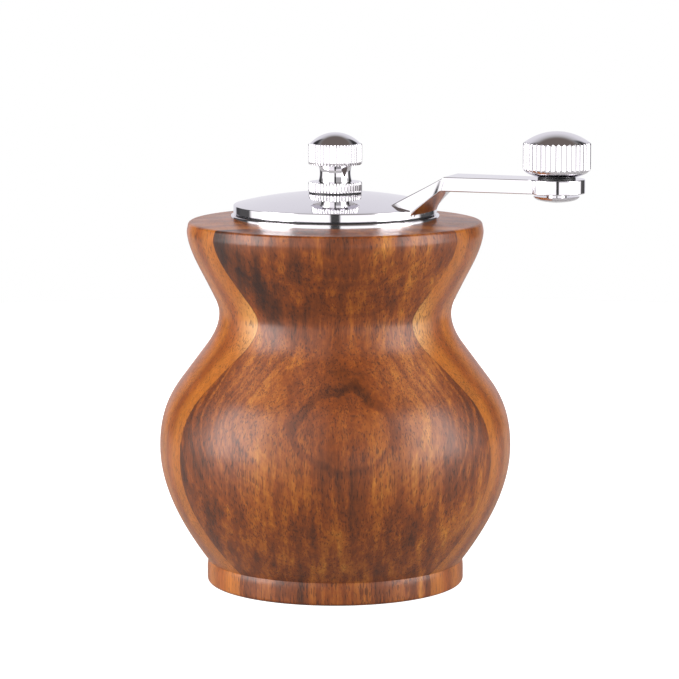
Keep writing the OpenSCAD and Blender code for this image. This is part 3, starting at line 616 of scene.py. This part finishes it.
for other, operation in ((arm_casting(), "UNION"), (boss, "UNION"), (inside, "DIFFERENCE"),
                         (edge_room, "DIFFERENCE"), (closing_ring, "UNION"),
                         (pin_hole, "DIFFERENCE"),
                         (square_bar("hole", SQUARE_HOLE, skirt_z - 3, seat_z + 1), "DIFFERENCE")):
    combine(lid, other, operation)
smooth(lid, 30)
# the arm's flat faces shade as flat, and only its rounded edges bend the light
even = lid.modifiers.new("even_shading", "WEIGHTED_NORMAL")
even.keep_sharp = True
plain_mesh(lid)
lid.data.materials.clear()
lid.data.materials.append(chrome)
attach(lid, "crank")
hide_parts("crank_lid")

# ---- Knob and its pin ------------------------------------------------------
# A die-cast chromed knob with rounded ribs between a bowl and a dome. It turns on a steel pin
# whose domed head shows under the arm, with a black washer between knob and boss.
knob_low, knob_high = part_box("crank_knob")
pin_low, pin_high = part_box("knob_pin")
KNOB_R, KNOB_RIBS, KNOB_GROOVE, BOWL_H, BAND_H, FOOT_KNOB_R = 8.96, 36, 0.46, 2.5, 6.4, 5.0
FULLNESS = 0.62  # below one, the ribs are broad and round and the grooves between them narrow


def cap(radius, low, high, steps):
    """Points up a ball's surface from an edge to its top on the axis."""
    ball = (radius ** 2 + (high - low) ** 2) / (2 * (high - low))
    start = asin((ball - high + low) / ball)
    turns = [start + (pi / 2 - start) * i / steps for i in range(steps + 1)]
    points = [(ball * cos(t), high - ball + ball * sin(t)) for t in turns]
    return points[:-1] + [(0, high)]


def ribbing():
    """Geometry Nodes that press grooves into a turned piece: no point stands further from the
    axis than the ribbed outline does in its direction."""
    tree = bpy.data.node_groups.new("ribbing", "GeometryNodeTree")
    face = tree.interface
    face.new_socket("Geometry", in_out="INPUT", socket_type="NodeSocketGeometry")
    for name in ("Radius", "Groove", "Ribs", "Axis X"):
        face.new_socket(name, in_out="INPUT", socket_type="NodeSocketFloat")
    face.new_socket("Material", in_out="INPUT", socket_type="NodeSocketMaterial")
    face.new_socket("Geometry", in_out="OUTPUT", socket_type="NodeSocketGeometry")
    given = add(tree, "NodeGroupInput").outputs
    axis = add(tree, "ShaderNodeCombineXYZ", {"X": given["Axis X"]})
    place = add(tree, "GeometryNodeInputPosition")
    from_axis = add(tree, "ShaderNodeVectorMath", {0: place, 1: axis}, operation="SUBTRACT")
    x, y, z = add(tree, "ShaderNodeSeparateXYZ", {0: from_axis}).outputs
    turn = add(tree, "ShaderNodeMath", {0: y, 1: x}, operation="ARCTAN2")
    phase = add(tree, "ShaderNodeMath", {0: turn, 1: given["Ribs"]}, operation="MULTIPLY")
    phase = add(tree, "ShaderNodeMath", {0: phase, 1: 0.5}, operation="MULTIPLY")
    swell = add(tree, "ShaderNodeMath", {0: phase}, operation="SINE")
    swell = add(tree, "ShaderNodeMath", {0: swell}, operation="ABSOLUTE")
    swell = add(tree, "ShaderNodeMath", {0: swell, 1: FULLNESS}, operation="POWER")
    root = add(tree, "ShaderNodeMath", {0: given["Radius"], 1: given["Groove"]},
               operation="SUBTRACT")
    limit = add(tree, "ShaderNodeMath", {0: swell, 1: given["Groove"], 2: root},
                operation="MULTIPLY_ADD")
    flat = add(tree, "ShaderNodeCombineXYZ", {"X": x, "Y": y})
    reach = add(tree, "ShaderNodeVectorMath", {0: flat}, operation="LENGTH").outputs["Value"]
    kept = add(tree, "ShaderNodeMath", {0: reach, 1: limit, 2: 0.12 * MM}, operation="SMOOTH_MIN")
    safe = add(tree, "ShaderNodeMath", {0: reach, 1: 0.1 * MM}, operation="MAXIMUM")
    share = add(tree, "ShaderNodeMath", {0: kept, 1: safe}, operation="DIVIDE")
    near_axis = add(tree, "ShaderNodeMath", {0: reach, 1: 2 * MM}, operation="LESS_THAN")
    share = add(tree, "ShaderNodeMix", {"Factor": near_axis, "A": share, "B": 1.0},
                data_type="FLOAT")
    scaled = add(tree, "ShaderNodeVectorMath", {0: flat, "Scale": share}, operation="SCALE")
    lifted = add(tree, "ShaderNodeCombineXYZ", {"Z": z})
    moved = add(tree, "ShaderNodeVectorMath", {0: scaled, 1: lifted}, operation="ADD")
    moved = add(tree, "ShaderNodeVectorMath", {0: moved, 1: axis}, operation="ADD")
    pressed = add(tree, "GeometryNodeSetPosition", {
        "Geometry": given["Geometry"], "Position": moved})
    real = add(tree, "GeometryNodeRealizeInstances", {0: pressed})
    named = add(tree, "GeometryNodeSetMaterial", {
        "Geometry": real, "Material": given["Material"]})
    add(tree, "NodeGroupOutput", {"Geometry": named})
    return tree


def shaped(piece, tree, **values):
    """Runs a Geometry Nodes tree on a piece with these inputs and keeps the plain result."""
    step = piece.modifiers.new(tree.name, "NODES")
    step.node_group = tree
    for item in tree.interface.items_tree:
        name = item.name.replace(" ", "_").lower()
        if item.in_out == "INPUT" and name in values:
            step[item.identifier] = values[name]
    plain_mesh(piece)


rib_tree = ribbing()
knob_z, knob_top = knob_low[2] / MM, knob_high[2] / MM
band_z = knob_z + BOWL_H
band = [(KNOB_R, band_z + BAND_H * i / 12) for i in range(1, 12)]
knob = turned("ribbed_knob", (
    [(0, knob_z), (FOOT_KNOB_R - 0.2, knob_z)]
    + ease((FOOT_KNOB_R, knob_z + 0.03), 3.6, (KNOB_R, band_z), 0.1, 22)
    + band + cap(KNOB_R, band_z + BAND_H, knob_top, 26)), KNOB_RIBS * 12, (CRANK_R, 0))
shaped(knob, rib_tree, radius=KNOB_R * MM, groove=KNOB_GROOVE * MM, ribs=float(KNOB_RIBS),
       axis_x=CRANK_R * MM, material=chrome)
smooth(knob, 42)
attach(knob, "knob")
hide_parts("crank_knob")

PIN_R, SHOULDER_R, HEAD_R, SHOULDER_H = 2.2, 2.7, 6.1, 0.7
head_z = pin_low[2] / MM
head_top = arm_z - SHOULDER_H
pin = turned("knob_pin_turned", (
    [(0, head_z)] + ease((1.2, head_z + 0.03), 9.0, (HEAD_R - 0.1, head_top - 0.32), 0.9, 14)
    + [(HEAD_R, head_top - 0.12), (HEAD_R - 0.12, head_top), (SHOULDER_R, head_top),
       (SHOULDER_R, arm_z), (PIN_R, arm_z), (PIN_R, pin_high[2] / MM), (0, pin_high[2] / MM)]),
    96, (CRANK_R, 0))
smooth(pin)
pin.data.materials.append(chrome)
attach(pin, "crank")
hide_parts("knob_pin")

# ---- Adjusting nut ---------------------------------------------------------
# A turned and knurled brass nut, chromed: a thin ribbed flange, a waisted neck, a ribbed drum
# and a dome. It runs on the shaft's thread and presses the lid through a black washer.
NUT_R, NUT_RIBS, NUT_GROOVE = 7.28, 46, 0.35
FLANGE_H, NECK_H, NECK_R, DRUM_H = 2.7, 4.7, 4.2, 5.6
nut_low, nut_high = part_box("adjusting_nut")
nut_z, nut_top = nut_low[2] / MM, nut_high[2] / MM
neck_z = nut_z + FLANGE_H
drum_z = neck_z + NECK_H
drum_top = drum_z + DRUM_H


def straight(radius, low, high, steps):
    """Points up a straight wall."""
    return [(radius, low + (high - low) * i / steps) for i in range(steps + 1)]


nut = turned("knurled_nut", (
    [(0, nut_z), (NUT_R - 0.25, nut_z)] + straight(NUT_R, nut_z + 0.25, neck_z - 0.25, 4)
    + [(NUT_R - 0.25, neck_z)]
    + [(NECK_R + 0.75, neck_z)] + ease((NECK_R + 0.4, neck_z + 0.1), -0.36,
                                       (NECK_R + 0.4, drum_z - 0.1), 0.36, 16)
    + [(NECK_R + 0.75, drum_z)]
    + [(NUT_R - 0.25, drum_z)] + straight(NUT_R, drum_z + 0.25, drum_top - 0.2, 8)
    + [(NUT_R - 0.2, drum_top), (NUT_R - 0.5, drum_top + 0.02)]
    + cap(NUT_R - 0.55, drum_top + 0.05, nut_top, 20)), NUT_RIBS * 10)
shaped(nut, rib_tree, radius=NUT_R * MM, groove=NUT_GROOVE * MM, ribs=float(NUT_RIBS),
       axis_x=0.0, material=chrome)
smooth(nut, 42)
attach(nut, "nut")
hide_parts("adjusting_nut")

# ---- Moulded nylon pieces --------------------------------------------------
# The glide ring under the lid, the washers under nut and knob, the bush and the mill's
# housing are moulded in black nylon, with the fine grain of a spark-eroded mould.


def moulded_nylon():
    """Black nylon: a soft sheen over a fine moulded grain, about a quarter of a millimetre."""
    made = bpy.data.materials.new("moulded_nylon")
    made.use_nodes = True
    tree = made.node_tree
    tree.nodes.clear()
    place = add(tree, "ShaderNodeTexCoord").outputs["Object"]
    grain = add(tree, "ShaderNodeTexNoise", {
        "Vector": place, "Scale": 1 / (0.25 * MM), "Detail": 2.0}).outputs[0]
    tint = add(tree, "ShaderNodeValToRGB", {0: grain}, stops=[(0.3, "#161617"), (0.7, "#26262a")])
    bump = add(tree, "ShaderNodeBump", {"Height": grain, "Strength": 0.3, "Distance": 0.03 * MM})
    skin = add(tree, "ShaderNodeBsdfPrincipled", {
        "Base Color": tint, "Roughness": 0.48, "Normal": bump, "IOR": 1.53})
    add(tree, "ShaderNodeOutputMaterial", {"Surface": skin})
    return made


def finish_node(name, material):
    """Gives a CAD node that stays its material."""
    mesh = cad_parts[name].data
    mesh.materials.clear()
    mesh.materials.append(material)


nylon = moulded_nylon()
for name in ("glide_ring", "nut_washer", "knob_washer", "shaft_bush", "burr_housing"):
    finish_node(name, nylon)

# ---- Steel pieces ----------------------------------------------------------
# Drawn and stamped steel inside the mill: the square shaft, bridge, spring, washers, clips
# and screws, bright zinc plated, with the fine lines of drawing along them.


def drawn_steel():
    """Bright zinc-plated steel with fine draw lines up the shaft and a slight mottle."""
    made = bpy.data.materials.new("drawn_steel")
    made.use_nodes = True
    tree = made.node_tree
    tree.nodes.clear()
    place = add(tree, "ShaderNodeTexCoord").outputs["Object"]
    along = add(tree, "ShaderNodeMapping", {
        "Vector": place, "Scale": (1 / (0.2 * MM), 1 / (0.2 * MM), 1 / (8 * MM))})
    lines = add(tree, "ShaderNodeTexNoise", {
        "Vector": along, "Scale": 1.0, "Detail": 2.0}).outputs[0]
    tint = add(tree, "ShaderNodeValToRGB", {0: lines}, stops=[(0.3, "#a3a5a8"), (0.7, "#c4c6c8")])
    rough = add(tree, "ShaderNodeMapRange", {
        "Value": lines, "From Min": 0.3, "From Max": 0.7, "To Min": 0.22, "To Max": 0.38})
    bump = add(tree, "ShaderNodeBump", {"Height": lines, "Strength": 0.2, "Distance": 0.02 * MM})
    skin = add(tree, "ShaderNodeBsdfPrincipled", {
        "Base Color": tint, "Metallic": 1.0, "Roughness": rough, "Normal": bump})
    add(tree, "ShaderNodeOutputMaterial", {"Surface": skin})
    return made


steel = drawn_steel()
for name in ("collar_screws", "shaft", "rotor_washer", "rotor_screw", "lower_spring_washer",
             "upper_spring_washer", "bush_clip", "shaft_bridge", "bridge_screws", "stator_clip",
             "housing_screws"):
    finish_node(name, steel)

# ---- Spring ----------------------------------------------------------------
# A compression spring coiled from steel wire around the shaft, its end turns closed up. It
# stands on the spindle's washer and pushes on the bush's, and is coiled at one fixed length.
spring_low, spring_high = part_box("spring")
SPRING_R, WIRE_R, SPRING_TURNS = 5.45, 0.5, 5.0
END_TURNS, END_CLIMB = 0.75, 0.3  # the closed turns at each end, and how slowly they climb


def coiled(name, low, high):
    """A closed tube wound up from one height to the other, slowly in its end turns."""
    around, sides = 32, 10
    count = int(around * SPRING_TURNS)
    climb = []
    for i in range(count + 1):
        from_end = min(i / around, SPRING_TURNS - i / around)
        climb.append(END_CLIMB if from_end < END_TURNS else 1.0)
    total = sum(climb[:-1])
    heights = [sum(climb[:i]) / total for i in range(count + 1)]
    shape = bmesh.new()
    rows = []
    for i, share in enumerate(heights):
        turn = 2 * pi * i / around
        z = low + WIRE_R + share * (high - low - 2 * WIRE_R)
        row = []
        for k in range(sides):
            across, rise = WIRE_R * cos(2 * pi * k / sides), WIRE_R * sin(2 * pi * k / sides)
            row.append(shape.verts.new(Vector((
                (SPRING_R + across) * cos(turn), (SPRING_R + across) * sin(turn), z + rise)) * MM))
        rows.append(row)
    for below, above in zip(rows, rows[1:]):
        for k in range(sides):
            j = (k + 1) % sides
            shape.faces.new((below[k], below[j], above[j], above[k]))
    shape.faces.new(rows[0])
    shape.faces.new(rows[-1])
    bmesh.ops.recalc_face_normals(shape, faces=shape.faces)
    mesh = bpy.data.meshes.new(name)
    shape.to_mesh(mesh)
    shape.free()
    piece = bpy.data.objects.new(name, mesh)
    bpy.context.collection.objects.link(piece)
    return piece


spring_z, spring_top = spring_low[2] / MM, spring_high[2] / MM
spring = coiled("coil_spring", spring_z, spring_top)
smooth(spring, 40)
spring.data.materials.append(steel)
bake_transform(spring)
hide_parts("spring")

# ---- Burrs -----------------------------------------------------------------
# The cone and the ring around it are pressed and fired alumina ceramic, left unglazed.


def fired_ceramic():
    """Unglazed alumina: warm white, dull, with a fine sintered grain."""
    made = bpy.data.materials.new("fired_ceramic")
    made.use_nodes = True
    tree = made.node_tree
    tree.nodes.clear()
    place = add(tree, "ShaderNodeTexCoord").outputs["Object"]
    grain = add(tree, "ShaderNodeTexNoise", {
        "Vector": place, "Scale": 1 / (0.4 * MM), "Detail": 3.0}).outputs[0]
    tint = add(tree, "ShaderNodeValToRGB", {0: grain}, stops=[(0.3, "#dcd8cd"), (0.7, "#ece9e1")])
    bump = add(tree, "ShaderNodeBump", {"Height": grain, "Strength": 0.25, "Distance": 0.03 * MM})
    skin = add(tree, "ShaderNodeBsdfPrincipled", {
        "Base Color": tint, "Roughness": 0.55, "Normal": bump, "IOR": 1.7})
    add(tree, "ShaderNodeOutputMaterial", {"Surface": skin})
    return made


ceramic = fired_ceramic()
for name in ("stator_burr", "rotor_burr"):
    finish_node(name, ceramic)
